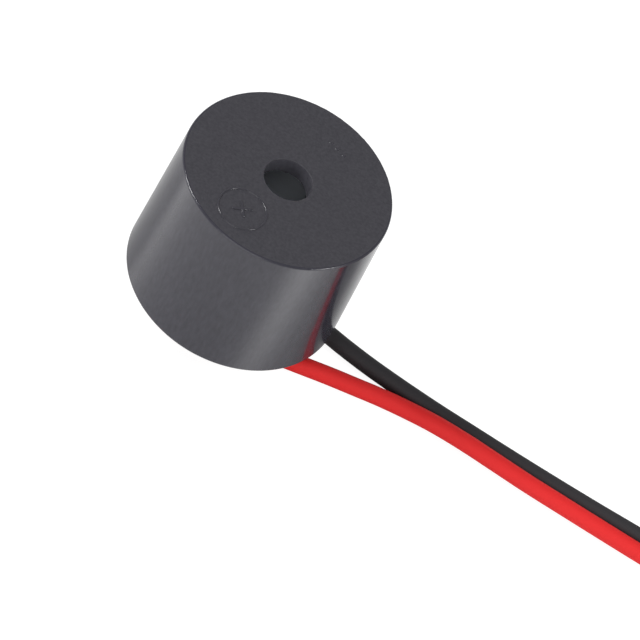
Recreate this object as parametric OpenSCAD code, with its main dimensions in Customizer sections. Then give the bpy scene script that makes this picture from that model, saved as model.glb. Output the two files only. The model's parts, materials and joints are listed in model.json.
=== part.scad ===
// Piezo buzzer with two insulated leads: a moulded casing with a sound hole, a bonded sounder disc,
// a small drive board and a base sealed with compound, out of which the leads run.
// Sizes are in millimetres, +Z is up, and the casing stands on its two leads with the table at z = 0.

/* [Casing] */
// Outer diameter of the casing at its rim
case_d = 12; // [10:0.5:16]
// Height of the casing from its rim to its top face
case_h = 9; // [8:0.5:14]
// Draft angle of the side wall, which leans in towards the top
draft = 1; // [0:0.25:2]
// Thickness of the top wall
top_wall = 1; // [0.6:0.1:1.5]
// Thickness of the side wall at the rim
rim_wall = 0.7; // [0.5:0.05:0.9]
// Radius of the top outer edge
top_edge_r = 0.12; // [0.04:0.02:0.4]
// Radius of the inner and outer edges of the rim
rim_edge_r = 0.18; // [0.04:0.02:0.2]

/* [Sound hole] */
// Diameter of the sound hole
hole_d = 2.7; // [2:0.1:4]
// Radius of the outer edge of the sound hole
hole_edge_r = 0.05; // [0.03:0.01:0.3]

/* [Sounder disc] */
// Width of the ledge that the metal plate seats on
plate_ledge_w = 0.7; // [0.4:0.05:1]
// Thickness of the metal plate
plate_t = 0.15; // [0.1:0.05:0.3]
// Radial clearance of the plate in its pocket
plate_gap = 0.1; // [0.05:0.05:0.2]
// Width of the bare metal round the ceramic disc
plate_margin = 1.4; // [1.1:0.05:1.8]
// Thickness of the ceramic disc
ceramic_t = 0.2; // [0.1:0.05:0.3]
// Radius of the sealing bead behind the plate
bead_r = 0.5; // [0.3:0.05:0.6]

/* [Circuit board] */
// Width of the ledge that the board seats on
board_ledge_w = 0.4; // [0.3:0.05:0.6]
// Thickness of the board
board_t = 0.8; // [0.6:0.1:1]
// Radial clearance of the board in its bore
board_gap = 0.1; // [0.05:0.05:0.2]
// Height of the room for parts between the board and the ceramic disc
part_room = 2.35; // [2.25:0.05:2.8]

/* [Drive parts] */
// Length of the transistor's body
transistor_l = 2.9; // [2.6:0.1:3]
// Width of the transistor's body
transistor_w = 1.3; // [1.2:0.1:1.5]
// Height of the transistor's body
transistor_h = 1; // [0.9:0.1:1.1]
// Length of each chip resistor
resistor_l = 1.6; // [1.4:0.1:1.7]
// Width of each chip resistor
resistor_w = 0.8; // [0.6:0.1:0.9]
// Height of each chip resistor
resistor_h = 0.45; // [0.35:0.05:0.6]
// Diameter of the choke's flanges
choke_d = 2.4; // [2:0.1:2.8]
// Height of the choke
choke_h = 1.8; // [1.4:0.1:1.9]
// Diameter of the choke's copper wire
choke_wire_d = 0.2; // [0.1:0.02:0.25]

/* [Solder and jumpers] */
// Diameter of the three jumper wires
jumper_d = 0.2; // [0.1:0.05:0.3]
// Radius of each solder dot at its foot
dot_r = 0.3; // [0.25:0.05:0.35]
// Height of each solder dot
dot_h = 0.3; // [0.3:0.05:0.4]
// Radius of each lead's solder joint at its foot
joint_r = 0.65; // [0.5:0.05:0.75]

/* [Leads] */
// Outer diameter of the leads' insulation
lead_d = 1; // [0.8:0.05:1.05]
// Diameter of the tinned core of each lead
core_d = 0.5; // [0.3:0.05:0.6]
// Centreline radius of the bend under the casing
bend_r = 2; // [2:0.1:2.5]
// Height of the casing's rim above the leads
rim_lift = 1; // [0:0.1:1.5]
// Depth of the sealed face above the rim
seal_recess = 1.6; // [0.8:0.1:2]
// Thickness of the sealing compound
seal_t = 1.2; // [0.6:0.1:2]
// Radius of the compound's creep up the casing's wall
creep_r = 0.3; // [0.1:0.05:0.4]
// Run of the red lead from its exit to the casing's edge
red_run = 8.15; // [7.1:0.05:8.3]
// Run of the black lead from its exit to the casing's edge
black_run = 7.85; // [6.2:0.05:8]
// Length of each stripped and tinned tip
tip_l = 5; // [3:0.5:8]

/* [Lead coil] */
// Mean diameter of the coil's turns
coil_d = 10; // [10:0.5:12]
// Thickness of the tie round the coil
tie_t = 0.15; // [0.1:0.05:0.3]
// Width of the tie along the coil
tie_w = 1.6; // [1:0.1:3]

/* [Hidden] */
// Facets of round shapes
$fn = 96;
// Overshoot of a cut past the face that it opens
cut = 0.5;
// Inset of a round edge from the side wall, as a share of its radius: the two cross instead of only touching
edge_inset = 0.998;

// Heights, from the table up to the plate, and from the top down to the air chamber's ceiling
lead_r = lead_d / 2;
bend_z = lead_r + bend_r;
rim_z = lead_d + rim_lift;
seal_z = rim_z + seal_recess;
board_back_z = seal_z + seal_t;
board_z = board_back_z + board_t;
disc_back_z = board_z + part_room;
plate_back_z = disc_back_z + ceramic_t;
plate_z = plate_back_z + plate_t;
top_z = rim_z + case_h;
ceiling_z = top_z - top_wall;

// Radii, from the outside in
case_r = case_d / 2;
top_r = case_r - case_h * tan(draft);
bore_r = case_r - rim_wall;
pocket_r = bore_r - board_ledge_w;
chamber_r = pocket_r - plate_ledge_w;
plate_r = pocket_r - plate_gap;
ceramic_r = plate_r - plate_margin;
hole_r = hole_d / 2;
core_r = core_d / 2;

// Clearance of each core in its hole in the board
core_gap = 0.1;
// Height of each core's end above the board
core_stub = 0.55;
// Gap between a lead's solder joint and the pocket's wall
joint_gap = 0.225;
// Radius of each solder dot at its crown, as a share of its foot
crown_share = 0.55;

// Exits of the two leads from the compound, and the way that each one heads
exit_r = pocket_r - joint_r - joint_gap;
red_exit_turn = -129.8;
black_exit_turn = 125.7;
red_heading = 11.5;
black_heading = -12.5;
red_exit = polar(exit_r, red_exit_turn);
black_exit = polar(exit_r, black_exit_turn);

// Places of the drive parts on the board
transistor_at = [0.9, -1.1];
choke_at = [1.9, 1.75];
base_resistor_at = [-1.5, -0.9];
feedback_resistor_at = [-2.7, -0.9];
bleed_resistor_at = [-0.3, 2.3];

// Solder dots: on the bare metal, near the ceramic's middle and near its rim
dot_edge_gap = 0.1;
plate_dot_turn = -75;
electrode_dot_turn = 120;
feedback_dot_turn = 0;
plate_dot = polar((ceramic_r + pocket_r - bead_r) / 2, plate_dot_turn);
electrode_dot = polar(2 * dot_r, electrode_dot_turn);
feedback_dot = polar(ceramic_r - dot_r - dot_edge_gap, feedback_dot_turn);
// The way that the jumper at each dot loops out
plate_loop_turn = 15;
electrode_loop_turn = 90;
feedback_loop_turn = 0;
// Place of each dot, height of the face above it, and the way that its jumper loops
DOTS = [
    [plate_dot, plate_back_z, plate_loop_turn],
    [electrode_dot, disc_back_z, electrode_loop_turn],
    [feedback_dot, disc_back_z, feedback_loop_turn]
];

// Transistor: legs of bent strip, and the slope of the moulded sides
leg_t = 0.15;
leg_w = 0.4;
leg_reach = 0.55;
leg_spread = 0.95;
leg_exit_h = 0.5;
body_slope = 0.1;
body_clear_h = 0.05;

// Chip resistors: metal end caps that stand proud of the ceramic block
cap_l = 0.3;
cap_t = 0.03;

// Choke: flanges and post of the core, and the turns wound between the flanges
flange_t = 0.4;
post_r = 0.6;
winding_gap = 0.12;
winding_h = choke_h - 2 * flange_t;
winding_r = choke_d / 2 - winding_gap;
winding_turns = floor(winding_h / choke_wire_d);

// Coil of the unseen length: two strands beside each other in two layers
strands = 2;
coil_r = coil_d / 2;
coil_w = strands * lead_d;
coil_x = 33.6;
pair_y = -0.74;
coil_at = [coil_x, pair_y + coil_r, 0];
tie_turn = 90;
tie_angle = tie_w / coil_r * 180 / PI;

// Sides of each free lead's tube
tube_sides = 8;
// Routes of the free leads: across, away, and lift of the centreline above the table lay
red_points = [
    [7.01, -1.14, 0], [8.51, -0.88, 0], [10.02, -0.63, 0], [11.52, -0.49, 0.03], [13.03, -0.56, 0.215],
    [15.03, -0.66, 0.275], [17.04, -0.79, 0.24], [19.04, -0.9, 0.175], [21.05, -0.99, 0.155],
    [23.06, -1.05, 0.11], [25.06, -1.09, 0.05], [27.07, -1.14, 0.02], [29.08, -1.19, 0],
    [31.08, -1.23, 0], [33.6, -1.24, 0]
];
black_points = [
    [7.01, 1.19, 0], [8.51, 0.92, 0], [10.02, 0.72, 0], [11.52, 0.56, 0], [13.03, 0.43, 0],
    [15.03, 0.31, 0], [17.04, 0.19, 0], [19.04, 0.09, 0], [21.05, 0.01, 0], [23.06, -0.05, 0],
    [25.06, -0.08, 0], [27.07, -0.13, 0], [29.08, -0.18, 0], [31.08, -0.23, 0], [33.6, -0.24, 0]
];
red_tail_points = [
    [33.6, -0.24, 1], [36.1, -0.24, 1], [38.1, -0.3, 0.75],
    [40.11, -0.4, 0.15], [41.11, -0.45, 0], [42.12, -0.5, 0]
];
black_tail_points = [
    [33.6, -1.24, 1], [36.1, -1.35, 1], [38.1, -1.6, 0.75],
    [40.11, -1.9, 0.15], [41.11, -2.05, 0], [42.12, -2.2, 0]
];

// Colours of the pieces
BLACK_PLASTIC = "#47474b";
NICKEL = "#a9a9a4";
CERAMIC = "#d8d2c4";
SILICONE = "#c9c9c9";
BOARD_GREEN = "#2f5a3c";
CHIP_BLACK = "#222224";
TIN = "#c4c4c2";
FERRITE = "#3b3838";
COPPER = "#b06a3b";
COMPOUND = "#1f1f21";
RED_PVC = "#d4252a";
BLACK_PVC = "#2b2a2c";
TIE_WHITE = "#e6e4dc";

// Point at a distance from the axis, turned from +X
function polar(r, turn) = [r * cos(turn), r * sin(turn)];

// Unit vector along v
function unit(v) = v / norm(v);

// End of a lead's root on the table, at the casing's edge
function root_end(exit, heading, run) = let (p = exit + polar(run, heading)) [p.x, p.y, 0];

// Centreline direction of a route at its point i
function along(route, i) =
    i == 0 ? unit(route[1] - route[0]) :
    i == len(route) - 1 ? unit(route[i] - route[i - 1]) :
    unit(route[i + 1] - route[i - 1]);

// Ring of points round a route's point p, square to the direction d
function ring(p, d) =
    let (side = unit(cross([0, 0, 1], d)), up = cross(d, side))
    [for (k = [0 : tube_sides - 1])
        let (turn = 360 * k / tube_sides)
        [p.x, p.y, p.z + lead_r] + lead_r * (cos(turn) * side + sin(turn) * up)];

// Removes what lies outside a round edge of radius r at a corner, on the sides given by their signs,
// where the side wall leans in by an angle
module edge_cut(corner, r, side_x, side_y, lean = 0) {
    reach = 2 * r;
    inset = edge_inset * r / cos(lean);
    translate([corner.x + side_y * r * tan(lean) - side_x * inset, corner.y - side_y * r]) difference() {
        polygon([
            [0, 0], [side_x * reach * cos(lean), reach * sin(lean)],
            [side_x * reach, side_y * reach], [0, side_y * reach]
        ]);
        circle(r);
    }
}

// Square with round corners, centred
module round_square(w, r) {
    inset = w / 2 - r;
    square([w, 2 * inset], center = true);
    square([2 * inset, w], center = true);
    for (sx = [-1, 1], sy = [-1, 1]) translate([sx * inset, sy * inset]) circle(r);
}

// Dot of solder standing on z = 0, narrower at its crown
module solder_dot() {
    cylinder(h = dot_h, r1 = dot_r, r2 = dot_r * crown_share);
}

// Solder drawn up in a hollow curve round a core that stands on z = 0
module solder_fillet() {
    rise = joint_r - core_r;
    rotate_extrude() translate([core_r, 0]) difference() {
        square(rise);
        translate([rise, rise]) circle(rise);
    }
}

// Jumper from a dot on the board up to the disc above it, looping out the way it heads
module jumper(dot, back_z, heading) {
    low = board_z + dot_h / 2;
    high = back_z - dot_h / 2;
    translate([dot.x, dot.y, (low + high) / 2]) rotate(heading) rotate([90, 0, 0]) rotate(-90)
        rotate_extrude(angle = 180) translate([(high - low) / 2, 0]) circle(d = jumper_d);
}

// Chip resistor across Y on the board
module chip_resistor(at) {
    translate([at.x - resistor_w / 2, at.y - resistor_l / 2, board_z]) {
        translate([cap_t, 0, cap_t]) cube([resistor_w - 2 * cap_t, resistor_l, resistor_h - 2 * cap_t]);
        for (y = [0, resistor_l - cap_l]) translate([0, y, 0]) cube([resistor_w, cap_l, resistor_h]);
    }
}

// Root of a lead: down through the compound, round its bend and out along the table
module lead_root(exit, heading, run) {
    translate([exit.x, exit.y, 0]) rotate(heading) {
        translate([0, 0, bend_z]) cylinder(r = lead_r, h = board_back_z - bend_z);
        translate([bend_r, 0, bend_z]) rotate([90, 0, 0]) rotate(180)
            rotate_extrude(angle = 90) translate([bend_r, 0]) circle(lead_r);
        translate([bend_r, 0, lead_r]) rotate([0, 90, 0]) cylinder(r = lead_r, h = run - bend_r);
    }
}

// Room that a lead's root takes in the compound, open through its top
module root_room(exit, heading, run) {
    lead_root(exit, heading, run);
    translate([exit.x, exit.y, bend_z]) cylinder(r = lead_r, h = board_back_z - bend_z + cut);
}

// Stripped core of a lead, from its insulation up through the board
module lead_core(exit) {
    translate([exit.x, exit.y, board_back_z]) cylinder(r = core_r, h = board_t + core_stub);
}

// Tube of a free lead along its route, whose first ring faces the way given
module tube(route, start) {
    last = len(route) - 1;
    rings = [for (i = [0 : last]) ring(route[i], i == 0 ? start : along(route, i))];
    sides = [for (i = [0 : last - 1], k = [0 : tube_sides - 1])
        let (next = (k + 1) % tube_sides, a = i * tube_sides, b = a + tube_sides)
        each [[a + k, b + k, b + next], [a + k, b + next, a + next]]];
    front = [for (k = [0 : tube_sides - 1]) k];
    back = [for (k = [tube_sides - 1 : -1 : 0]) last * tube_sides + k];
    polyhedron(points = [for (r = rings) each r], faces = concat(sides, [front, back]), convexity = 4);
}

// Room that the coil takes, out to its outer turns
module coil_room() {
    translate(coil_at) cylinder(r = coil_r + coil_w / 2, h = 2 * coil_w);
}

// Stripped tip that carries on from the end of a tail
module lead_tip(points) {
    last = points[len(points) - 1];
    before = points[len(points) - 2];
    heading = atan2(last.y - before.y, last.x - before.x);
    translate([last.x, last.y, last.z + lead_r]) rotate(heading) rotate([0, 90, 0])
        cylinder(r = core_r, h = tip_l);
}

module casing() {
    color(BLACK_PLASTIC) rotate_extrude() difference() {
        polygon([[hole_r, rim_z], [case_r, rim_z], [top_r, top_z], [hole_r, top_z]]);
        translate([0, rim_z - cut]) square([bore_r, board_z - rim_z + cut]);
        translate([0, rim_z]) square([pocket_r, plate_z - rim_z]);
        translate([0, rim_z]) square([chamber_r, ceiling_z - rim_z]);
        edge_cut([top_r, top_z], top_edge_r, 1, 1, draft);
        edge_cut([case_r, rim_z], rim_edge_r, 1, -1, draft);
        edge_cut([bore_r, rim_z], rim_edge_r, -1, -1);
        edge_cut([hole_r, top_z], hole_edge_r, -1, 1);
    }
}

module bender_plate() {
    color(NICKEL) translate([0, 0, plate_back_z]) cylinder(r = plate_r, h = plate_t);
}

module piezo_ceramic() {
    color(CERAMIC) translate([0, 0, disc_back_z]) cylinder(r = ceramic_r, h = ceramic_t);
}

module plate_seal() {
    color(SILICONE) rotate_extrude() translate([pocket_r, plate_back_z]) intersection() {
        circle(bead_r);
        translate([-bead_r, -bead_r]) square(bead_r);
    }
}

module circuit_board() {
    color(BOARD_GREEN) translate([0, 0, board_back_z]) difference() {
        cylinder(r = bore_r - board_gap, h = board_t);
        for (exit = [red_exit, black_exit]) translate([exit.x, exit.y, -cut])
            cylinder(r = core_r + core_gap, h = board_t + 2 * cut);
    }
}

module transistor_body() {
    half_w = transistor_w / 2;
    foot = half_w - body_slope;
    color(CHIP_BLACK) translate([transistor_at.x - transistor_l / 2, transistor_at.y, board_z])
        rotate([90, 0, 90]) linear_extrude(transistor_l) polygon([
            [-foot, body_clear_h], [foot, body_clear_h], [half_w, leg_exit_h],
            [foot, transistor_h], [-foot, transistor_h], [-half_w, leg_exit_h]
        ]);
}

module transistor_legs() {
    half_w = transistor_w / 2;
    bend = half_w + leg_reach / 2;
    end = half_w + leg_reach;
    color(TIN) for (leg = [[-leg_spread, 180], [leg_spread, 180], [0, 0]])
        translate([transistor_at.x + leg[0], transistor_at.y, board_z]) rotate(leg[1])
            translate([-leg_w / 2, 0, 0]) rotate([90, 0, 90]) linear_extrude(leg_w) polygon([
                [half_w, leg_exit_h], [half_w, leg_exit_h + leg_t], [bend, leg_exit_h + leg_t],
                [bend, leg_t], [end, leg_t], [end, 0], [bend - leg_t, 0], [bend - leg_t, leg_exit_h]
            ]);
}

module base_resistor() {
    color(CHIP_BLACK) chip_resistor(base_resistor_at);
}

module feedback_resistor() {
    color(CHIP_BLACK) chip_resistor(feedback_resistor_at);
}

module bleed_resistor() {
    color(CHIP_BLACK) chip_resistor(bleed_resistor_at);
}

module choke_core() {
    color(FERRITE) translate([choke_at.x, choke_at.y, board_z]) {
        cylinder(d = choke_d, h = flange_t);
        cylinder(r = post_r, h = choke_h);
        translate([0, 0, choke_h - flange_t]) cylinder(d = choke_d, h = flange_t);
    }
}

module choke_winding() {
    pitch = winding_h / winding_turns;
    color(COPPER) translate([choke_at.x, choke_at.y, board_z + flange_t]) rotate_extrude() {
        translate([post_r, 0]) square([winding_r - choke_wire_d / 2 - post_r, winding_h]);
        for (i = [0 : winding_turns - 1])
            translate([winding_r - choke_wire_d / 2, (i + 0.5) * pitch]) circle(d = choke_wire_d);
    }
}

module plate_jumper() {
    color(COPPER) jumper(DOTS[0][0], DOTS[0][1], DOTS[0][2]);
}

module electrode_jumper() {
    color(COPPER) jumper(DOTS[1][0], DOTS[1][1], DOTS[1][2]);
}

module feedback_jumper() {
    color(COPPER) jumper(DOTS[2][0], DOTS[2][1], DOTS[2][2]);
}

module disc_solder() {
    color(TIN) for (d = DOTS) difference() {
        translate([d[0].x, d[0].y, d[1]]) mirror([0, 0, 1]) solder_dot();
        jumper(d[0], d[1], d[2]);
    }
}

module board_solder() {
    color(TIN) for (d = DOTS) difference() {
        translate([d[0].x, d[0].y, board_z]) solder_dot();
        jumper(d[0], d[1], d[2]);
    }
}

module lead_solder() {
    color(TIN) for (exit = [red_exit, black_exit])
        translate([exit.x, exit.y, board_z]) solder_fillet();
}

module red_lead_core() {
    color(TIN) lead_core(red_exit);
}

module black_lead_core() {
    color(TIN) lead_core(black_exit);
}

module potting() {
    color(COMPOUND) difference() {
        rotate_extrude() {
            translate([0, seal_z]) square([bore_r, board_back_z - seal_z]);
            translate([bore_r - creep_r, seal_z - creep_r]) difference() {
                square(creep_r);
                circle(creep_r);
            }
        }
        root_room(red_exit, red_heading, red_run);
        root_room(black_exit, black_heading, black_run);
    }
}

module red_lead_root() {
    color(RED_PVC) lead_root(red_exit, red_heading, red_run);
}

module black_lead_root() {
    color(BLACK_PVC) lead_root(black_exit, black_heading, black_run);
}

module red_lead() {
    route = concat([root_end(red_exit, red_heading, red_run)], red_points);
    color(RED_PVC) difference() {
        tube(route, [cos(red_heading), sin(red_heading), 0]);
        coil_room();
    }
}

module black_lead() {
    route = concat([root_end(black_exit, black_heading, black_run)], black_points);
    color(BLACK_PVC) difference() {
        tube(route, [cos(black_heading), sin(black_heading), 0]);
        coil_room();
    }
}

module lead_coil() {
    color(BLACK_PVC) translate(coil_at) rotate_extrude()
        translate([coil_r, tie_t + coil_w / 2]) round_square(coil_w, lead_r);
}

module red_lead_tail() {
    color(RED_PVC) difference() {
        tube(red_tail_points, along(red_tail_points, 0));
        coil_room();
    }
}

module black_lead_tail() {
    color(BLACK_PVC) difference() {
        tube(black_tail_points, along(black_tail_points, 0));
        coil_room();
    }
}

module red_lead_tip() {
    color(TIN) lead_tip(red_tail_points);
}

module black_lead_tip() {
    color(TIN) lead_tip(black_tail_points);
}

module coil_tie() {
    color(TIE_WHITE) translate(coil_at) rotate(tie_turn - tie_angle / 2)
        rotate_extrude(angle = tie_angle) translate([coil_r, tie_t + coil_w / 2]) difference() {
            round_square(coil_w + 2 * tie_t, lead_r + tie_t);
            round_square(coil_w, lead_r);
        }
}

casing();
bender_plate();
piezo_ceramic();
plate_seal();
circuit_board();
transistor_body();
transistor_legs();
base_resistor();
feedback_resistor();
bleed_resistor();
choke_core();
choke_winding();
plate_jumper();
electrode_jumper();
feedback_jumper();
disc_solder();
board_solder();
lead_solder();
red_lead_core();
black_lead_core();
potting();
red_lead_root();
black_lead_root();
red_lead();
black_lead();
lead_coil();
red_lead_tail();
black_lead_tail();
red_lead_tip();
black_lead_tip();
coil_tie();
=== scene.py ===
"""Looks of a small piezo buzzer: a moulded casing with a sound hole, and two insulated leads.

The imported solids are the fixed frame. The casing, the leads and their stripped strands are modelled here
as smooth pieces, every piece gets its finish, and the studio and the camera are set up round them.
Sizes in the classes are millimetres and degrees, and become metres where a mesh is made.
"""

import json
import logging
import math
from collections.abc import Callable
from dataclasses import dataclass, field
from enum import Enum

import bmesh
import bpy
from mathutils import Matrix, Vector


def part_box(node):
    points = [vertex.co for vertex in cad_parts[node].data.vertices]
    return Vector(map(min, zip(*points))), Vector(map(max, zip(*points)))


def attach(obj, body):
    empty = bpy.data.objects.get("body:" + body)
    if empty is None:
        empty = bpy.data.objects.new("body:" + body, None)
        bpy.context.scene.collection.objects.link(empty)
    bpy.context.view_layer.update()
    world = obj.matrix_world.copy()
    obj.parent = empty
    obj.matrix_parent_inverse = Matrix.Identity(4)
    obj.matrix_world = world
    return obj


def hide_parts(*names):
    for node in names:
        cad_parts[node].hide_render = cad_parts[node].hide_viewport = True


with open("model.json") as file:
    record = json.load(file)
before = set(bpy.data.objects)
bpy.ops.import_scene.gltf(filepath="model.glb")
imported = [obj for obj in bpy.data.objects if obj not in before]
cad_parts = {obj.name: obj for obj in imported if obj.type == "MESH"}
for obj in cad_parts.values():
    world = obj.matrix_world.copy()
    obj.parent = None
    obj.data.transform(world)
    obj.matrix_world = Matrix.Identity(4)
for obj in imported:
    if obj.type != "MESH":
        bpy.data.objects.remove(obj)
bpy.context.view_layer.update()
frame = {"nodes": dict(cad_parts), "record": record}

MM = 0.001
BODY = "root"
# Least vertical part of a level face's normal, and most of an upright face's
LEVEL_NORMAL = 0.9
UPRIGHT_NORMAL = 0.5
# Sharpest angle that is shaded as round along a tube
TUBE_SMOOTH_ANGLE = 50.0
# Sockets of the Mix node for colours, by number, because their names repeat
MIX_SHARE = 0
MIX_FIRST = 6
MIX_SECOND = 7
MIX_RESULT = 2

Point = tuple[float, float, float]
Place = tuple[float, float]
Colour = tuple[float, float, float, float]

log = logging.getLogger("buzzer")


def linear(hex_colour: str) -> Colour:
    """Turns an sRGB colour to linear light.

    Args:
        hex_colour: Colour as "#rrggbb".

    Returns:
        Linear red, green and blue, and an alpha of 1.
    """
    channels = [int(hex_colour[i : i + 2], 16) / 255 for i in (1, 3, 5)]
    light = [c / 12.92 if c <= 0.04045 else ((c + 0.055) / 1.055) ** 2.4 for c in channels]
    return (*light, 1.0)


def per_metre(size_mm: float) -> float:
    """Gives a texture's scale for a feature of that size in millimetres."""
    return 1 / (size_mm * MM)


def polar(radius: float, turn: float) -> Place:
    """Gives the point at a distance from the axis, turned from +X in degrees."""
    return radius * math.cos(math.radians(turn)), radius * math.sin(math.radians(turn))


def add_node(
    tree: bpy.types.NodeTree, kind: str, inputs: dict[str | int, object] | None = None, **settings: object
) -> bpy.types.Node:
    """Adds a node with its settings and links.

    Args:
        tree: Node tree that gets the node.
        kind: Type name of the node.
        inputs: Value, or output socket to link, for each input by its name or number.
        **settings: Properties of the node itself.

    Returns:
        The new node.
    """
    node = tree.nodes.new(kind)
    for name, value in settings.items():
        setattr(node, name, value)
    for name, value in (inputs or {}).items():
        if isinstance(value, bpy.types.NodeSocket):
            tree.links.new(value, node.inputs[name])
        else:
            node.inputs[name].default_value = value
    return node


def deselect_all() -> None:
    """Leaves nothing selected, so that the next operator acts on its own object alone."""
    bpy.ops.object.select_all(action="DESELECT")


def activate(obj: bpy.types.Object) -> None:
    """Makes one object the only selected and active one.

    Args:
        obj: Object that the next operators act on.
    """
    deselect_all()
    obj.select_set(True)
    bpy.context.view_layer.objects.active = obj


def settle(obj: bpy.types.Object) -> None:
    """Puts an object's place, turn and scale into its mesh."""
    activate(obj)
    bpy.ops.object.transform_apply(location=True, rotation=True, scale=True)


def close_seams(obj: bpy.types.Object, gap_mm: float = 0.0005) -> None:
    """Merges the doubled points of a mesh and turns its faces outwards.

    Args:
        obj: Mesh object to close.
        gap_mm: Distance at which two points count as one.
    """
    with Bench(obj):
        bpy.ops.mesh.select_all(action="SELECT")
        bpy.ops.mesh.remove_doubles(threshold=gap_mm * MM)
        bpy.ops.mesh.normals_make_consistent(inside=False)


def join(parts: list[bpy.types.Object]) -> bpy.types.Object:
    """Joins meshes to one object.

    Args:
        parts: Objects to join, of which the first one keeps its name.

    Returns:
        The joined object.
    """
    activate(parts[0])
    for part in parts:
        part.select_set(True)
    bpy.ops.object.join()
    return bpy.context.object


class Pick(Enum):
    """Parts of a mesh that are picked in edit mode, by the name of their select mode."""

    FACES = "FACE"
    EDGES = "EDGE"


class Bench:
    """A mesh held in edit mode, whose faces and edges are picked by their place."""

    def __init__(self, obj: bpy.types.Object) -> None:
        """Takes the mesh object that is worked on."""
        self.obj = obj

    def __enter__(self) -> "Bench":
        """Opens edit mode on the object alone."""
        activate(self.obj)
        bpy.ops.object.mode_set(mode="EDIT")
        return self

    def __exit__(self, *_: object) -> None:
        """Goes back to object mode."""
        bpy.ops.object.mode_set(mode="OBJECT")

    def pick(self, kind: Pick, test: Callable[[bmesh.types.BMFace | bmesh.types.BMEdge], bool]) -> None:
        """Selects the faces or edges that pass a test, and no others.

        Args:
            kind: Faces or edges.
            test: Says whether a face or edge is wanted.
        """
        bpy.ops.mesh.select_mode(type=kind.value)
        bpy.ops.mesh.select_all(action="DESELECT")
        mesh = bmesh.from_edit_mesh(self.obj.data)
        for part in mesh.faces if kind is Pick.FACES else mesh.edges:
            if test(part):
                part.select_set(True)
        bmesh.update_edit_mesh(self.obj.data)


@dataclass(frozen=True)
class Finish:
    """Surface of one material: its colours, its gloss and its grain."""

    name: str
    colour: str
    shade: str
    roughness: float
    metallic: float = 0.0
    ior: float = 1.5
    gloss_change: float = 0.05
    mottle_mm: float = 0.8
    grain_mm: float = 0.1
    grain_depth_mm: float = 0.003
    mottle_detail: float = 3.0
    grain_detail: float = 2.0
    # Stretch of both patterns along each axis
    drag: Point = (1.0, 1.0, 1.0)

    def coordinates(self, tree: bpy.types.NodeTree) -> bpy.types.NodeSocket:
        """Gives the coordinates in metres that the patterns lie on.

        Args:
            tree: Node tree of the material.

        Returns:
            Socket with the coordinates.
        """
        return add_node(tree, "ShaderNodeTexCoord").outputs["Object"]

    def material(self) -> bpy.types.Material:
        """Makes the material, with mottled colour and gloss and a fine grain.

        Returns:
            The new material.
        """
        made = bpy.data.materials.new(self.name)
        made.use_nodes = True
        tree = made.node_tree
        shader = tree.nodes["Principled BSDF"]
        shader.inputs["Metallic"].default_value = self.metallic
        if not self.metallic:
            shader.inputs["IOR"].default_value = self.ior
        place = self.coordinates(tree)
        dragged = add_node(
            tree, "ShaderNodeMapping", {"Vector": place, "Scale": tuple(1 / d for d in self.drag)}
        ).outputs["Vector"]
        mottle = add_node(
            tree,
            "ShaderNodeTexNoise",
            {"Vector": dragged, "Scale": per_metre(self.mottle_mm), "Detail": self.mottle_detail},
        ).outputs["Fac"]
        grain = add_node(
            tree,
            "ShaderNodeTexNoise",
            {"Vector": dragged, "Scale": per_metre(self.grain_mm), "Detail": self.grain_detail},
        ).outputs["Fac"]
        colour = add_node(
            tree,
            "ShaderNodeMix",
            {MIX_SHARE: mottle, MIX_FIRST: linear(self.shade), MIX_SECOND: linear(self.colour)},
            data_type="RGBA",
        ).outputs[MIX_RESULT]
        glossiest = self.roughness - self.gloss_change
        dullest = self.roughness + self.gloss_change
        gloss = add_node(
            tree, "ShaderNodeMapRange", {"Value": mottle, "To Min": glossiest, "To Max": dullest}
        ).outputs["Result"]
        bump = add_node(
            tree, "ShaderNodeBump", {"Height": grain, "Distance": self.grain_depth_mm * MM}
        ).outputs["Normal"]
        tree.links.new(colour, shader.inputs["Base Color"])
        tree.links.new(gloss, shader.inputs["Roughness"])
        tree.links.new(bump, shader.inputs["Normal"])
        return made


@dataclass(frozen=True)
class CordFinish(Finish):
    """Surface of an extruded cord, whose grain runs along it."""

    length_mm: float = 112.0
    girth_mm: float = math.pi

    def coordinates(self, tree: bpy.types.NodeTree) -> bpy.types.NodeSocket:
        """Gives the cord's own map, stretched to metres round it and along it.

        Args:
            tree: Node tree of the material.

        Returns:
            Socket with the coordinates.
        """
        unrolled = add_node(tree, "ShaderNodeTexCoord").outputs["UV"]
        size = (self.girth_mm * MM, self.length_mm * MM, 1.0)
        return add_node(tree, "ShaderNodeMapping", {"Vector": unrolled, "Scale": size}).outputs["Vector"]


# ABS, moulded against a smooth wall and drawn out along it: glossy, with faint lines along the draw
ABS_WALL = Finish(
    "black_abs_smooth_wall", "#42414a", "#28272f", roughness=0.14,
    mottle_mm=0.2, grain_mm=0.06, grain_depth_mm=0.0004, drag=(1.0, 1.0, 3.0),
)
# ABS, moulded where the two halves of the mould meet: glossy, with a broken uneven edge
ABS_EDGE = Finish(
    "black_abs_parting_edge", "#383740", "#34333c", roughness=0.12,
    mottle_mm=0.2, grain_mm=0.16, grain_depth_mm=0.012,
)
# ABS, moulded against a spark-eroded face: matt, with a fine even grain
# The grain is drawn coarser than the real one, so that it shows
ABS_TOP = Finish(
    "black_abs_spark_textured_top", "#48474d", "#2b2a31", roughness=0.5,
    mottle_mm=0.15, grain_mm=0.09, grain_depth_mm=0.012,
)
# ABS, moulded round the pin that forms the sound hole: smooth, and painted paler to stand in for light in
# the hole
ABS_BORE_PAINTED_PALER = Finish(
    "black_abs_bore_painted_paler", "#57565d", "#3e3d44", roughness=0.3,
    mottle_mm=0.2, grain_mm=0.06, grain_depth_mm=0.0004,
)
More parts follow.
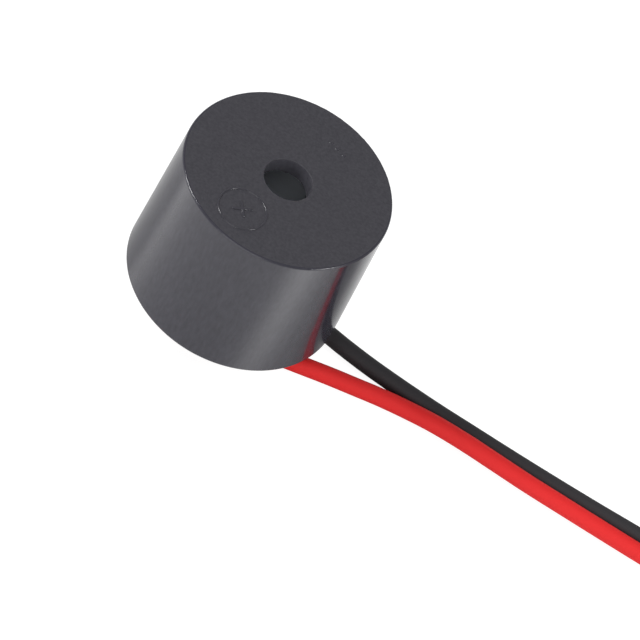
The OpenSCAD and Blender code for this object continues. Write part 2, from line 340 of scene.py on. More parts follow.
# ABS, moulded in the polished cuts that form the raised marks: glossier than the face round them
ABS_MARKS = Finish(
    "black_abs_polished_marks", "#3c3b42", "#38373e", roughness=0.14,
    mottle_mm=0.2, grain_mm=0.05, grain_depth_mm=0.001,
)
# Plasticised PVC, extruded on the strands: a dull satin, with faint lines along the cord
# The lines are drawn coarser than the real ones, so that they show
RED_PVC = CordFinish(
    "red_pvc_extruded", "#ea1c1d", "#e2191a", roughness=0.7,
    mottle_mm=1.2, grain_mm=0.12, grain_depth_mm=0.0012, drag=(1.0, 12.0, 1.0),
)
BLACK_PVC = CordFinish(
    "black_pvc_extruded", "#2c292c", "#282629", roughness=0.7,
    mottle_mm=1.2, grain_mm=0.12, grain_depth_mm=0.0012, drag=(1.0, 12.0, 1.0),
)
# Tinned copper and solder: a soft grey metal, a little uneven
TIN = Finish(
    "tin_hot_dipped", "#c9c9c7", "#b4b4b3", roughness=0.32, metallic=1.0,
    mottle_mm=0.3, grain_mm=0.08, grain_depth_mm=0.002,
)
# Nickel alloy, rolled to a thin sheet and sealed with matt lacquer: dull, with fine lines one way
NICKEL = Finish(
    "nickel_alloy_lacquered", "#c8ced6", "#bfc5ce", roughness=0.6,
    mottle_mm=0.8, grain_mm=0.05, grain_depth_mm=0.0006, drag=(20.0, 1.0, 1.0),
)
# Piezo ceramic, fired, with a printed silver face: chalky pale grey
SILVERED_CERAMIC = Finish(
    "silvered_ceramic_fired", "#d9d4c8", "#cbc6ba", roughness=0.6,
    mottle_mm=0.5, grain_mm=0.06, grain_depth_mm=0.002,
)
# Silicone, cured in place: translucent grey, smooth
SILICONE = Finish(
    "silicone_cured", "#c9c9c9", "#bdbdbd", roughness=0.35, ior=1.41,
    mottle_mm=0.6, grain_mm=0.3, grain_depth_mm=0.004,
)
# Glass laminate under green lacquer: a faint weave under a gloss
LAMINATE = Finish(
    "glass_laminate_lacquered", "#2f5a3c", "#2a5037", roughness=0.3,
    mottle_mm=0.5, grain_mm=0.25, grain_depth_mm=0.004,
)
# Moulding compound of the small parts: matt black
CHIP_BLACK = Finish(
    "moulding_compound_matt", "#232325", "#1e1e20", roughness=0.55,
    mottle_mm=0.2, grain_mm=0.04, grain_depth_mm=0.002,
)
# Ferrite, pressed and sintered: dull dark grey with a gritty face
FERRITE = Finish(
    "ferrite_sintered", "#3b3838", "#322f2f", roughness=0.6,
    mottle_mm=0.2, grain_mm=0.05, grain_depth_mm=0.004,
)
# Copper wire under clear lacquer: warm and bright
COPPER = Finish(
    "copper_lacquered", "#c0764a", "#b06a3b", roughness=0.25, metallic=1.0,
    mottle_mm=0.3, grain_mm=0.06, grain_depth_mm=0.001,
)
# Epoxy, cast in the base: flat and glossy with slow waves
EPOXY = Finish(
    "epoxy_cast", "#202022", "#1b1b1d", roughness=0.22, ior=1.55,
    mottle_mm=1.5, grain_mm=1.2, grain_depth_mm=0.02,
)
# Paper-faced tie band: chalky white with a short fibre grain
PAPER_TIE = Finish(
    "paper_tie_band", "#e6e4dc", "#d8d5cb", roughness=0.75,
    mottle_mm=0.3, grain_mm=0.06, grain_depth_mm=0.006,
)

NODE_FINISHES: dict[str, Finish] = {
    "bender_plate": NICKEL,
    "piezo_ceramic": SILVERED_CERAMIC,
    "plate_seal": SILICONE,
    "circuit_board": LAMINATE,
    "transistor_body": CHIP_BLACK,
    "transistor_legs": TIN,
    "base_resistor": CHIP_BLACK,
    "feedback_resistor": CHIP_BLACK,
    "bleed_resistor": CHIP_BLACK,
    "choke_core": FERRITE,
    "choke_winding": COPPER,
    "plate_jumper": COPPER,
    "electrode_jumper": COPPER,
    "feedback_jumper": COPPER,
    "disc_solder": TIN,
    "board_solder": TIN,
    "lead_solder": TIN,
    "red_lead_core": TIN,
    "black_lead_core": TIN,
    "potting": EPOXY,
    "coil_tie": PAPER_TIE,
}


class Zone(Enum):
    """Moulded zones of the casing, by the slot number of their material."""

    WALL = 0
    TOP = 1
    MARKS = 2
    EDGE = 3
    BORE = 4


ZONE_FINISHES: dict[Zone, Finish] = {
    Zone.WALL: ABS_WALL,
    Zone.TOP: ABS_TOP,
    Zone.MARKS: ABS_MARKS,
    Zone.EDGE: ABS_EDGE,
    Zone.BORE: ABS_BORE_PAINTED_PALER,
}


class Strand(Enum):
    """The two leads, by the side of the pair's middle that each keeps to at the start of the coil."""

    RED = 1
    BLACK = -1


def radius_of(co: Vector) -> float:
    """Gives a point's distance from the casing's axis, in millimetres."""
    return math.hypot(co.x, co.y) / MM


def is_ring(edge: bmesh.types.BMEdge, radius: float, height: float, slack: float = 0.01) -> bool:
    """Says whether an edge lies on a circle round the casing's axis.

    Args:
        edge: Edge to test.
        radius: Radius of the circle.
        height: Height of the circle above the table.
        slack: Distance that a point may lie off the circle.

    Returns:
        True if both ends lie on the circle.
    """
    return all(
        abs(radius_of(v.co) - radius) < slack and abs(v.co.z / MM - height) < slack for v in edge.verts
    )


@dataclass
class TopMarks:
    """Fine raised marks moulded on the top face: a ring with a plain cross in it, and three dots."""

    ring_at: Place = (-1.29, -3.44)
    ring_r: float = 1.34
    ridge_r: float = 0.07
    ridge_sink: float = 0.02
    ring_facets: int = 96
    ridge_facets: int = 16
    cross_l: float = 1.1
    cross_w: float = 0.16
    cross_h: float = 0.05
    cross_edge_r: float = 0.035
    cross_segments: int = 3
    cross_turn: float = 30.0
    dots_at: Place = (1.42, 3.69)
    dot_r: float = 0.13
    dot_rise: float = 0.05
    dot_step: float = 0.5
    dot_turn: float = -21.0
    dots: int = 3
    dot_facets: int = 24

    def ring(self, top_z: float) -> bpy.types.Object:
        """Models the ring as a low round ridge.

        Args:
            top_z: Height of the top face.

        Returns:
            The ring, sunk a little into the face.
        """
        deselect_all()
        bpy.ops.mesh.primitive_torus_add(
            location=(self.ring_at[0] * MM, self.ring_at[1] * MM, (top_z - self.ridge_sink) * MM),
            major_radius=self.ring_r * MM,
            minor_radius=self.ridge_r * MM,
            major_segments=self.ring_facets,
            minor_segments=self.ridge_facets,
        )
        ring = bpy.context.object
        settle(ring)
        return ring

    def cross(self, top_z: float) -> bpy.types.Object:
        """Models the plain cross: a square boss whose four sides are drawn out to arms.

        Args:
            top_z: Height of the top face.

        Returns:
            The cross, with its lower half sunk into the face.
        """
        deselect_all()
        bpy.ops.mesh.primitive_cube_add(size=1)
        cross = bpy.context.object
        cross.scale = (self.cross_w * MM, self.cross_w * MM, 2 * self.cross_h * MM)
        settle(cross)
        arm = (self.cross_l - self.cross_w) / 2 * MM
        with Bench(cross) as bench:
            bench.pick(Pick.FACES, lambda face: abs(face.normal.z) < UPRIGHT_NORMAL)
            bpy.ops.mesh.extrude_faces_move(TRANSFORM_OT_shrink_fatten={"value": arm})
            bench.pick(Pick.EDGES, lambda edge: all(v.co.z > 0 for v in edge.verts))
            bpy.ops.mesh.bevel(offset=self.cross_edge_r * MM, segments=self.cross_segments, affect="EDGES")
        cross.rotation_euler.z = math.radians(self.cross_turn)
        cross.location = (self.ring_at[0] * MM, self.ring_at[1] * MM, top_z * MM)
        settle(cross)
        return cross

    def dot(self, index: int, top_z: float) -> bpy.types.Object:
        """Models one low round dot.

        Args:
            index: Place of the dot in the row, from 0.
            top_z: Height of the top face.

        Returns:
            The dot, half sunk into the face.
        """
        along = (index - (self.dots - 1) / 2) * self.dot_step
        step = polar(along, self.dot_turn)
        deselect_all()
        bpy.ops.mesh.primitive_uv_sphere_add(
            segments=self.dot_facets, ring_count=self.dot_facets // 2, radius=self.dot_r * MM
        )
        dot = bpy.context.object
        dot.scale.z = self.dot_rise / self.dot_r
        dot.location = ((self.dots_at[0] + step[0]) * MM, (self.dots_at[1] + step[1]) * MM, top_z * MM)
        settle(dot)
        return dot

    def build(self, top_z: float) -> bpy.types.Object:
        """Models all the marks as one mesh.

        Args:
            top_z: Height of the top face.

        Returns:
            The joined marks.
        """
        parts = [self.ring(top_z), self.cross(top_z)]
        parts += [self.dot(index, top_z) for index in range(self.dots)]
        return join(parts)


@dataclass
class Casing:
    """Moulded cap: a round wall with draft, a flat top with a sound hole, and ledges inside."""

    rim_r: float = 6.0
    draft: float = 1.0
    top_wall: float = 1.0
    plate_gap: float = 0.1
    board_gap: float = 0.1
    plate_ledge_w: float = 0.7
    top_edge_r: float = 0.12
    hole_edge_r: float = 0.05
    rim_edge_r: float = 0.18
    facets: int = 192
    edge_segments: int = 4
    edge_wander: float = 0.012
    wander_seed: int = 7
    smooth_angle: float = 40.0
    zone_slack: float = 0.004
    marks: TopMarks = field(default_factory=TopMarks)

    def __post_init__(self) -> None:
        """Takes the sizes that the frame already has."""
        low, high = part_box("casing")
        self.rim_z = low.z / MM
        self.top_z = high.z / MM
        self.height = self.top_z - self.rim_z
        self.top_r = self.rim_r - self.height * math.tan(math.radians(self.draft))
        self.plate_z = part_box("bender_plate")[1].z / MM
        self.board_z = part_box("circuit_board")[1].z / MM
        self.pocket_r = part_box("bender_plate")[1].x / MM + self.plate_gap
        self.bore_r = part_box("circuit_board")[1].x / MM + self.board_gap
        self.chamber_r = self.pocket_r - self.plate_ledge_w
        port = next(m for m in frame["record"]["mounts"] if m["name"] == "sound_port")
        self.hole_r = port["dims"]["r_mm"]

    def inner_profile(self) -> list[Place]:
        """Gives radius and height of each corner from the top of the hole down to the rim.

        Returns:
            Corners in the order in which the cap is drawn in.
        """
        ceiling_z = self.top_z - self.top_wall
        return [
            (self.hole_r, self.top_z),
            (self.hole_r, ceiling_z),
            (self.chamber_r, ceiling_z),
            (self.chamber_r, self.plate_z),
            (self.pocket_r, self.plate_z),
            (self.pocket_r, self.board_z),
            (self.bore_r, self.board_z),
            (self.bore_r, self.rim_z),
        ]

    def turn_shell(self) -> bpy.types.Object:
        """Models the shell: a round block whose top is drawn in through the hole and out to the rim.

        Returns:
            The closed shell with sharp edges.
        """
        deselect_all()
        bpy.ops.mesh.primitive_cone_add(
            vertices=self.facets,
            radius1=self.rim_r * MM,
            radius2=self.top_r * MM,
            depth=self.height * MM,
            location=(0, 0, (self.rim_z + self.height / 2) * MM),
        )
        shell = bpy.context.object
        shell.name = "casing_shell"
        settle(shell)
        at_r, at_z = self.top_r, self.top_z
        with Bench(shell) as bench:
            bench.pick(Pick.FACES, lambda face: face.normal.z > LEVEL_NORMAL)
            for radius, z in self.inner_profile():
                rise = (0, 0, (z - at_z) * MM)
                widen = (radius / at_r, radius / at_r, 1)
                bpy.ops.mesh.extrude_region_move(TRANSFORM_OT_translate={"value": rise})
                bpy.ops.transform.resize(value=widen, center_override=(0, 0, z * MM))
                at_r, at_z = radius, z
            bpy.ops.mesh.delete(type="ONLY_FACE")
            bench.pick(
                Pick.FACES,
                lambda face: face.normal.z < -LEVEL_NORMAL and len(face.verts) == self.facets,
            )
            bpy.ops.mesh.delete(type="ONLY_FACE")
            bench.pick(Pick.EDGES, lambda edge: edge.is_boundary)
            bpy.ops.mesh.bridge_edge_loops()
        close_seams(shell)
        return shell

    def round_edges(self, shell: bpy.types.Object) -> None:
        """Rounds the outer edges, and lets the top edge wander a little as a moulded edge does.

        Args:
            shell: The shell with sharp edges.
        """
        edges = [
            (self.top_r, self.top_z, self.top_edge_r),
            (self.hole_r, self.top_z, self.hole_edge_r),
            (self.rim_r, self.rim_z, self.rim_edge_r),
            (self.bore_r, self.rim_z, self.rim_edge_r),
        ]
        with Bench(shell) as bench:
            for radius, z, rounding in edges:
                bench.pick(Pick.EDGES, lambda edge: is_ring(edge, radius, z))
                bpy.ops.mesh.bevel(offset=rounding * MM, segments=self.edge_segments, affect="EDGES")
            inner_r = self.top_r - self.top_edge_r / 2
            lower_z = self.top_z - self.top_edge_r / 2
            bench.pick(
                Pick.EDGES,
                lambda edge: all(radius_of(v.co) > inner_r and v.co.z / MM > lower_z for v in edge.verts),
            )
            bpy.ops.transform.vertex_random(offset=self.edge_wander * MM, seed=self.wander_seed)

    def raise_marks(self, shell: bpy.types.Object) -> None:
        """Grows the raised marks out of the top face, as one moulding.

        Args:
            shell: The shell with rounded edges.
        """
        marks = self.marks.build(self.top_z)
        activate(shell)
        union = shell.modifiers.new("marks", "BOOLEAN")
        union.operation = "UNION"
        union.solver = "EXACT"
        union.object = marks
        bpy.ops.object.modifier_apply(modifier=union.name)
        bpy.data.objects.remove(marks)

    def dress(self, shell: bpy.types.Object) -> None:
        """Smooths the shading and gives each moulded zone its own finish.

        Args:
            shell: The finished shell.
        """
        activate(shell)
        bpy.ops.object.shade_smooth_by_angle(angle=math.radians(self.smooth_angle))
        flat = shell.modifiers.new("flat_faces", "WEIGHTED_NORMAL")
        flat.keep_sharp = True
        bpy.ops.object.modifier_apply(modifier=flat.name)
        shell.data.materials.clear()
        for zone in Zone:
            shell.data.materials.append(ZONE_FINISHES[zone].material())
        for face in shell.data.polygons:
            face.material_index = self.zone_at(face.center).value

    def zone_at(self, co: Vector) -> Zone:
        """Gives the moulded zone that a point of the shell lies in.

        Args:
            co: Point on the shell.

        Returns:
            The zone.
        """
        height = co.z / MM
        radius = radius_of(co)
        if height > self.top_z + self.zone_slack:
            return Zone.MARKS
        if height < self.top_z - self.top_edge_r and radius > self.hole_r + self.zone_slack:
            return Zone.WALL
        if height < self.top_z - self.hole_edge_r and radius < self.hole_r + self.zone_slack:
            return Zone.BORE
        if radius > self.top_r - self.top_edge_r + self.zone_slack:
            return Zone.EDGE
        return Zone.TOP

    def build(self) -> bpy.types.Object:
        """Builds the whole casing and puts it in the frame.

        Returns:
            The finished casing.
        """
        shell = self.turn_shell()
        self.round_edges(shell)
        self.raise_marks(shell)
        self.dress(shell)
        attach(shell, BODY)
        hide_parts("casing")
        return shell


@dataclass
class CoilLay:
    """The neat coil of the pair: two turns, each a layer, where the leads change sides as they climb.

    The second turn rides over that climb, so the pair ends on top of both layers.
    """

    centre: Place = (33.6, 4.26)
    radius: float = 5.0
    pitch: float = 1.0
    turns: int = 2
    start_turn: float = -90.0
    # Angles wound from and to which the pair climbs, and by which the next turn rises sooner
    climb_from: float = 193.0
    climb_to: float = 312.0
    ride_lead: float = 3.0
    tie_turn: float = 90.0
    tie_t: float = 0.15
    tie_reach: int = 6
    steps_per_turn: int = 36

    def climbed(self, wound: float) -> float:
        """Gives the share of the climb, eased at both ends, that is done at a wound angle."""
        share = min(1.0, max(0.0, (wound - self.climb_from) / (self.climb_to - self.climb_from)))
        return share**2 * (3 - 2 * share)

    def point(self, strand: Strand, wound: float) -> Point:
        """Gives a lead's centreline at an angle that has been wound.

        Args:
            strand: The lead.
            wound: Angle wound since the start of the coil.

        Returns:
            The point on the centreline.
        """
        turn = self.start_turn + wound
        half = self.pitch / 2
        share = self.climbed(wound)
        swap = math.pi * share
        rise = math.sin(swap) if share < 0.5 else 2 - math.sin(swap)
        ride = 2 * math.sin(math.pi * min(0.5, self.climbed(wound + self.ride_lead - 360)))
        near_tie = 0.5 + 0.5 * math.cos(math.radians(turn - self.tie_turn))
        x, y = polar(self.radius + strand.value * half * math.cos(swap), turn)
        lift = self.tie_t * near_tie**self.tie_reach
        z = half * (1 + rise + ride + strand.value * math.sin(swap)) + lift
        return self.centre[0] + x, self.centre[1] + y, z

    def route(self, strand: Strand) -> list[Point]:
        """Gives a lead's points through the whole coil, without its first and last one.

        Args:
            strand: The lead.

        Returns:
            Points along the centreline.
        """
        steps = self.turns * self.steps_per_turn
        return [self.point(strand, 360 * self.turns * i / steps) for i in range(1, steps)]


def smooth_line(points: list[Point], spacing: float) -> list[Vector]:
    """Draws one smooth line through points that are spaced unevenly.

    Args:
        points: Points that the line goes through.
        spacing: Greatest distance between two points of the line.

    Returns:
        Points along the line.
    """
    knots = [Vector(p) for p in points]
    knots = [2 * knots[0] - knots[1], *knots, 2 * knots[-1] - knots[-2]]
    line = [knots[1]]
    for a, b, c, d in zip(knots, knots[1:], knots[2:], knots[3:]):
        before, span, after = ((q - p).length for p, q in ((a, b), (b, c), (c, d)))
        leave = ((b - a) / before * span + (c - b) / span * before) / (before + span) * span
        arrive = ((c - b) / span * after + (d - c) / after * span) / (span + after) * span
        steps = max(1, math.ceil(span / spacing))
        for i in range(1, steps + 1):
            t = i / steps
            line.append(
                (2 * t**3 - 3 * t**2 + 1) * b
                + (t**3 - 2 * t**2 + t) * leave
                + (3 * t**2 - 2 * t**3) * c
                + (t**3 - t**2) * arrive
            )
    return line


def tube(name: str, line: list[Vector], radius: float, sides: int) -> bpy.types.Object:
    """Models a round tube with closed ends along a line.

    Args:
        name: Name of the new object.
        line: Points along the centreline, in millimetres.
        radius: Radius of the tube.
        sides: Number of the tube's sides, which is even.

    Returns:
        The tube as a mesh, with its own map round it and along it.
    """
    curve = bpy.data.curves.new(name, "CURVE")
    curve.dimensions = "3D"
    curve.twist_mode = "Z_UP"
    curve.bevel_depth = radius * MM
    curve.bevel_resolution = sides // 2 - 2
    curve.use_fill_caps = True
    spline = curve.splines.new("POLY")
    spline.points.add(len(line) - 1)
    for point, co in zip(spline.points, line):
        point.co = (*(co * MM), 1.0)
    obj = bpy.data.objects.new(name, curve)
    bpy.context.scene.collection.objects.link(obj)
    activate(obj)
    bpy.ops.object.convert(target="MESH")
    close_seams(obj)
    bpy.ops.object.shade_smooth_by_angle(angle=math.radians(TUBE_SMOOTH_ANGLE))
    return obj


@dataclass
class StrippedTip:
    """Stripped end of a lead: tinned strands laid round one in the middle."""

    name: str
    start: Point
    heading: float
    length: float = 5.0
    strand_r: float = 0.0833
    lay_length: float = 4.0
    spacing: float = 0.12
    strand_sides: int = 8
    outer_strands: int = 6

    def strand_line(self, turn: float, lay_r: float) -> list[Vector]:
        """Gives the centreline of one strand.

        Args:
            turn: Angle at which the strand starts round the middle one.
            lay_r: Radius at which it is laid.

        Returns:
            Points along the strand.
        """
        steps = math.ceil(self.length / self.spacing)
        ahead = Vector((*polar(1, self.heading), 0))
        side = Vector((*polar(1, self.heading + 90), 0))
        line = []
        for i in range(steps + 1):
            along = self.length * i / steps
            across, up = polar(lay_r, turn + 360 * along / self.lay_length)
            line.append(Vector(self.start) + along * ahead + across * side + up * Vector((0, 0, 1)))
        return line

    def build(self) -> bpy.types.Object:
        """Builds the bundle of strands.

        Returns:
            The strands as one mesh.
        """
        step = 360 / self.outer_strands
        lays = [(0.0, 0.0)] + [(step * k, 2 * self.strand_r) for k in range(self.outer_strands)]
        strands = [
            tube(self.name, self.strand_line(turn, lay_r), self.strand_r, self.strand_sides)
            for turn, lay_r in lays
        ]
        bundle = join(strands)
        bundle.data.materials.append(TIN.material())
        return bundle


@dataclass
class Lead:
    """One insulated lead: out of the compound, round its bend, along the table and through the coil."""

    strand: Strand
    finish: CordFinish
    exit_turn: float
    heading: float
    run: float
    route: list[Point]
    tail: list[Point]
    coil: CoilLay
    diameter: float = 1.0
    exit_r: float = 4.025
    bend_r: float = 2.0
    seal_t: float = 1.2
    bend_steps: int = 6
    run_shares: Point = (0.33, 0.67, 1.0)
    spacing: float = 0.2
    tube_sides: int = 24

    def __post_init__(self) -> None:
        """Takes the heights that the frame already has."""
        self.colour = self.strand.name.lower()
        self.sealed_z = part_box("potting")[1].z / MM
        self.lay_z = self.diameter / 2

    def root_points(self) -> list[Point]:
        """Gives the points from the board down through the compound and round the bend.

        Returns:
            Points along the root's centreline.
        """
        x, y = polar(self.exit_r, self.exit_turn)
        ahead = polar(1, self.heading)
        points = [(x, y, self.sealed_z)]
        for i in range(self.bend_steps + 1):
            out, up = polar(self.bend_r, 180 + 90 * i / self.bend_steps)
            out += self.bend_r
            points.append((x + out * ahead[0], y + out * ahead[1], self.lay_z + self.bend_r + up))
        straight = self.run - self.bend_r
        for share in self.run_shares:
            out = self.bend_r + share * straight
            points.append((x + out * ahead[0], y + out * ahead[1], self.lay_z))
        return points

    def centreline(self) -> list[Vector]:
        """Gives the whole lead's centreline, from the board to the end of its insulation.

        Returns:
            Points along one smooth line.
        """
        laid = [(x, y, lift + self.lay_z) for x, y, lift in self.route]
        end = [(x, y, lift + self.lay_z) for x, y, lift in self.tail]
        points = self.root_points() + laid + self.coil.route(self.strand) + end
        line = smooth_line(points, self.spacing)
        for point in line:
            point.z = max(point.z, self.lay_z)
        return line

    def build(self) -> tuple[bpy.types.Object, bpy.types.Object, list[Vector]]:
        """Builds the insulation and the stripped strands.

        Returns:
            The insulation, the strands, and the centreline of the insulation in millimetres.
        """
        line = self.centreline()
        wire = tube(f"{self.colour}_wire", line, self.diameter / 2, self.tube_sides)
        wire.data.materials.append(self.finish.material())
        ahead = line[-1] - line[-2]
        heading = math.degrees(math.atan2(ahead.y, ahead.x))
        tip = StrippedTip(f"{self.colour}_strands", tuple(line[-1]), heading).build()
        return wire, tip, line

    def place(self, extra: list[bpy.types.Object]) -> bpy.types.Object:
        """Args:
            extra: Other pieces that go with this cord; not used.

        Returns:
            The insulation.
        """
        wire, tip, line = self.build()
        for piece, slot in ((wire, f"{self.colour}_pvc"), (tip, "tin")):
            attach(piece, BODY)
        stem = f"{self.colour}_lead"
        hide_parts(f"{stem}_root", stem, "lead_coil", f"{stem}_tail")
        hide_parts(f"{stem}_tip")
        return wire


# Points of each lead along the table up to the coil, and of its tail past it, with their lift
RED_ROUTE: list[Point] = [
    (7.01, -1.14, 0), (8.51, -0.88, 0), (10.02, -0.63, 0), (11.52, -0.49, 0.03), (13.03, -0.56, 0.215),
    (15.03, -0.66, 0.275), (17.04, -0.79, 0.24), (19.04, -0.9, 0.175), (21.05, -0.99, 0.155),
    (23.06, -1.05, 0.11), (25.06, -1.09, 0.05), (27.07, -1.14, 0.02), (29.08, -1.19, 0),
    (31.08, -1.23, 0), (33.6, -1.24, 0),
]
BLACK_ROUTE: list[Point] = [
    (7.01, 1.19, 0), (8.51, 0.92, 0), (10.02, 0.72, 0), (11.52, 0.56, 0), (13.03, 0.43, 0),
    (15.03, 0.31, 0), (17.04, 0.19, 0), (19.04, 0.09, 0), (21.05, 0.01, 0), (23.06, -0.05, 0),
    (25.06, -0.08, 0), (27.07, -0.13, 0), (29.08, -0.18, 0), (31.08, -0.23, 0), (33.6, -0.24, 0),
]
RED_TAIL: list[Point] = [
    (33.6, -0.24, 2), (36.1, -0.24, 2), (37.2, -0.27, 1.97), (38.3, -0.31, 1.6), (39.4, -0.37, 0.9),
    (40.5, -0.42, 0.28), (41.3, -0.46, 0.04), (42.12, -0.5, 0),
]
BLACK_TAIL: list[Point] = [
    (33.6, -1.24, 2), (35.6, -1.31, 1.97), (36.7, -1.42, 1.65), (38, -1.59, 0.85), (39.2, -1.77, 0.25),
    (40.11, -1.9, 0.02), (41.11, -2.05, 0), (42.12, -2.2, 0),
]


@dataclass(frozen=True)
class SoftBox:
    """Square soft box that faces the object."""

    name: str
    azimuth: float
    elevation: float
    distance: float
    width: float
    radiance: float

    def hang(self, target: Vector) -> None:
        """Hangs the lamp and turns it to the object.

        Args:
            target: Point in metres that the lamp faces.
        """
        lamp = bpy.data.lights.new(self.name, "AREA")
        lamp.shape = "SQUARE"
        lamp.size = self.width * MM
        lamp.energy = self.radiance * math.pi * lamp.size**2
        out, up = polar(self.distance * MM, self.elevation)
        forward, right = polar(out, self.azimuth)
        obj = bpy.data.objects.new(self.name, lamp)
        obj.location = target + Vector((right, -forward, up))
        obj.rotation_euler = (target - obj.location).to_track_quat("-Z", "Y").to_euler()
        bpy.context.scene.collection.objects.link(obj)


@dataclass
class Studio:
    """White table, soft boxes at both sides and in front, a grey ceiling, and the camera."""

    camera_at: Point = (5.103, -285.142, 316.207)
    elevation: float = 47.709
    roll: float = 29.872
    lens: float = 447.78
    clip_near: float = 10.0
    clip_far: float = 20000.0
    table_w: float = 4000.0
    table_drop: float = 0.01
    table_glow: float = 0.93
    table_grey: str = "#898989"
    mirrored_glow: float = 0.6
    mirrored_grey: str = "#bcbcbc"
    bounce_grey: str = "#f6f6f6"
    ceiling_light: float = 0.42
    horizon_light: float = 1.0
    # Heights, as the sine of an angle, between which the light falls off to the ceiling's
    haze_from: float = 0.1
    haze_to: float = 0.4
    boxes: tuple[SoftBox, ...] = (
        SoftBox("right_soft_box", azimuth=80, elevation=42, distance=150, width=40, radiance=11.5),
        SoftBox("left_soft_box", azimuth=-88, elevation=42, distance=190, width=64, radiance=14.5),
        SoftBox("front_soft_box", azimuth=-8, elevation=28, distance=220, width=170, radiance=1.42),
    )
    # Painted highlights and shade in reflections of the table, by azimuth round a point under the casing's
    # front
    tone_centre: Place = (0.0, -4.2)
    painted_reflection_tones: tuple[Place, ...] = (
        (-180, 0.6), (-130, 0.48), (-117, 0.33), (-106, 0.55), (-98, 1.55), (-90, 1.55), (-83, 1.27),
        (-71, 1.0), (20, 0.93), (46, 1.3), (66, 2.7), (80, 1.75), (90, 0.95), (100, 0.45), (108, 0.0),
        (120, 0.05), (130, 0.65), (145, 1.0), (180, 1.0),
    )
    # Painted shade in reflections, darker towards the casing's foot, between two distances from its axis
    foot_painted_shade: float = 0.75
    far_painted_light: float = 1.15
    foot_r: float = 8.0
    far_r: float = 16.0

    def place_camera(self) -> None:
        """Sets the camera in front of the casing, looking down on it and leaning to one side."""
        data = bpy.data.cameras.new("camera")
        data.lens = self.lens
        data.clip_start = self.clip_near * MM
        data.clip_end = self.clip_far * MM
        camera = bpy.data.objects.new("camera", data)
        tip = Matrix.Rotation(math.radians(90 - self.elevation), 4, "X")
        lean = Matrix.Rotation(math.radians(self.roll), 4, "Z")
        camera.matrix_world = Matrix.Translation(Vector(self.camera_at) * MM) @ tip @ lean
        bpy.context.scene.collection.objects.link(camera)
        bpy.context.scene.camera = camera

    def painted_reflection_glow(self, tree: bpy.types.NodeTree) -> bpy.types.NodeSocket:
        """Makes the table's glow in reflections, with painted highlights and painted shade by azimuth and
        by distance from the casing.

        Args:
            tree: Node tree of the table.

        Returns:
            Socket with the strength of the glow.
        """
        place = add_node(tree, "ShaderNodeTexCoord").outputs["Object"]
        across, away = self.tone_centre
        start_behind = {
            "Vector": place,
            "Rotation": (0, 0, math.radians(90)),
            "Location": (away * MM, -across * MM, 0),
        }
        turned = add_node(tree, "ShaderNodeMapping", start_behind).outputs["Vector"]
        around = add_node(
            tree, "ShaderNodeTexGradient", {"Vector": turned}, gradient_type="RADIAL"
        ).outputs["Fac"]
        # Painted sheen of the soft boxes and painted shadow between the leads, seen in reflections only
        tone_top = max(tone for _, tone in self.painted_reflection_tones)
        tones = add_node(tree, "ShaderNodeValToRGB", {"Fac": around})
        tones.color_ramp.interpolation = "CARDINAL"
        stops = tones.color_ramp.elements
        while len(stops) < len(self.painted_reflection_tones):
            stops.new(1.0)
        for stop, (azimuth, tone) in zip(stops, self.painted_reflection_tones):
            stop.position = azimuth / 360 + 0.5
            stop.color = (tone / tone_top,) * 3 + (1.0,)
        tone = add_node(
            tree, "ShaderNodeMath", {0: tones.outputs["Color"], 1: tone_top}, operation="MULTIPLY"
        ).outputs[0]
        # Painted contact shade in reflections: darker towards the casing's foot, lighter further out
        distance = add_node(tree, "ShaderNodeVectorMath", {0: place}, operation="LENGTH").outputs["Value"]
        by_distance = {
            "Value": distance,
            "From Min": self.foot_r * MM,
            "From Max": self.far_r * MM,
            "To Min": self.foot_painted_shade,
            "To Max": self.far_painted_light,
        }
        fall = add_node(tree, "ShaderNodeMapRange", by_distance).outputs["Result"]
        faded = add_node(tree, "ShaderNodeMath", {0: tone, 1: fall}, operation="MULTIPLY").outputs[0]
        return add_node(
            tree, "ShaderNodeMath", {0: faded, 1: self.mirrored_glow}, operation="MULTIPLY"
        ).outputs[0]

    def table_material(self) -> bpy.types.Material:
        """Makes the table: white to the eye, with the object's soft shadow, and in reflections a glow with
        painted highlights and painted shade.

        Returns:
            The new material.
        """
        made = bpy.data.materials.new("table_white")
        made.use_nodes = True
        tree = made.node_tree
        tree.nodes.clear()
        path = add_node(tree, "ShaderNodeLightPath").outputs
        strength = self.painted_reflection_glow(tree)
        looks = []
        for glow, grey in ((self.table_glow, self.table_grey), (strength, self.mirrored_grey)):
            white = add_node(tree, "ShaderNodeEmission", {"Strength": glow}).outputs[0]
            lit = add_node(tree, "ShaderNodeBsdfDiffuse", {"Color": linear(grey)}).outputs[0]
            looks.append(add_node(tree, "ShaderNodeAddShader", {0: white, 1: lit}).outputs[0])
        shown, mirrored = looks
        bounce = add_node(tree, "ShaderNodeBsdfDiffuse", {"Color": linear(self.bounce_grey)}).outputs[0]
        rays = {0: path["Is Camera Ray"], 1: path["Is Transmission Ray"]}
        direct = add_node(tree, "ShaderNodeMath", rays, operation="MAXIMUM").outputs[0]
        seen = add_node(tree, "ShaderNodeMixShader", {0: direct, 1: bounce, 2: shown}).outputs[0]
        by_ray = {0: path["Is Glossy Ray"], 1: seen, 2: mirrored}
        mixed = add_node(tree, "ShaderNodeMixShader", by_ray).outputs[0]
        add_node(tree, "ShaderNodeOutputMaterial", {"Surface": mixed})
        return made

    def lay_table(self) -> None:
        """Lays the table under the object."""
        deselect_all()
        bpy.ops.mesh.primitive_plane_add(size=self.table_w * MM, location=(0, 0, -self.table_drop * MM))
        table = bpy.context.object
        table.name = "table"
        table.data.materials.append(self.table_material())

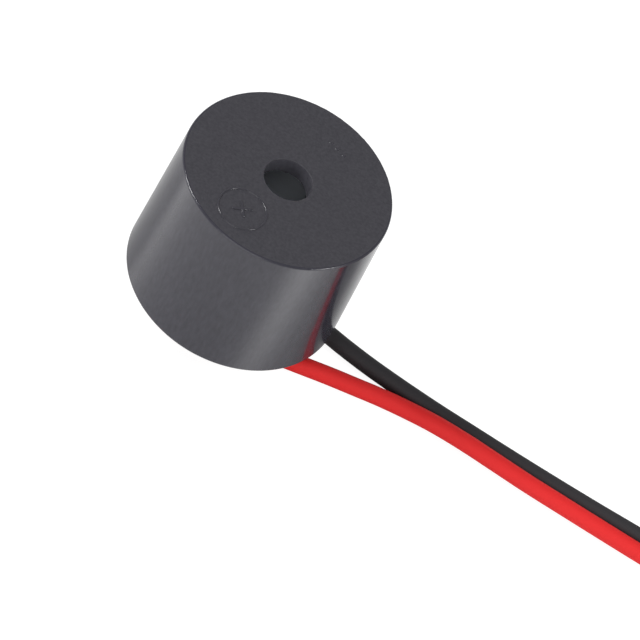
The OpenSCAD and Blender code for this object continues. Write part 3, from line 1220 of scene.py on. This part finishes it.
    def light_room(self) -> None:
        """Lights the room, pale at the horizon and greyer above, and hangs the soft boxes."""
        world = bpy.data.worlds.new("studio")
        world.use_nodes = True
        tree = world.node_tree
        tree.nodes.clear()
        ray = add_node(tree, "ShaderNodeTexCoord").outputs["Generated"]
        height = add_node(tree, "ShaderNodeSeparateXYZ", {"Vector": ray}).outputs["Z"]
        haze = {
            "Value": height,
            "From Min": self.haze_from,
            "From Max": self.haze_to,
            "To Min": self.horizon_light,
            "To Max": self.ceiling_light,
        }
        strength = add_node(
            tree, "ShaderNodeMapRange", haze, interpolation_type="SMOOTHSTEP"
        ).outputs["Result"]
        back = add_node(tree, "ShaderNodeBackground", {"Strength": strength}).outputs[0]
        add_node(tree, "ShaderNodeOutputWorld", {"Surface": back})
        bpy.context.scene.world = world
        for box in self.boxes:
            box.hang(Vector((0, 0, 0)))

    def build(self) -> None:
        """Sets up the table and the light."""
        bpy.context.scene.view_settings.view_transform = "Standard"
        self.lay_table()
        self.light_room()


def dress_nodes() -> None:
    """Gives its finish to every solid of the frame that no smooth piece replaces."""
    made: dict[str, bpy.types.Material] = {}
    for name, finish in NODE_FINISHES.items():
        if finish.name not in made:
            made[finish.name] = finish.material()
        node = frame["nodes"][name]
        node.data.materials.clear()
        node.data.materials.append(made[finish.name])
        log.info("%s: %s", name, finish.name)


def main() -> None:
    """Builds the camera, the leads, the casing and the studio, in that order."""
    logging.basicConfig(level=logging.INFO, format="%(message)s")
    studio = Studio()
    studio.place_camera()
    coil = CoilLay()
    red = Lead(
        Strand.RED, RED_PVC, exit_turn=-129.8, heading=11.5, run=8.15,
        route=RED_ROUTE, tail=RED_TAIL, coil=coil,
    )
    black = Lead(
        Strand.BLACK, BLACK_PVC, exit_turn=125.7, heading=-12.5, run=7.85,
        route=BLACK_ROUTE, tail=BLACK_TAIL, coil=coil,
    )
    for lead, extra in ((red, [frame["nodes"]["coil_tie"]]), (black, [])):
        log.info("%s", lead.place(extra).name)
    log.info("%s", Casing().build().name)
    dress_nodes()
    studio.build()


if __name__ == "__main__":
    main()
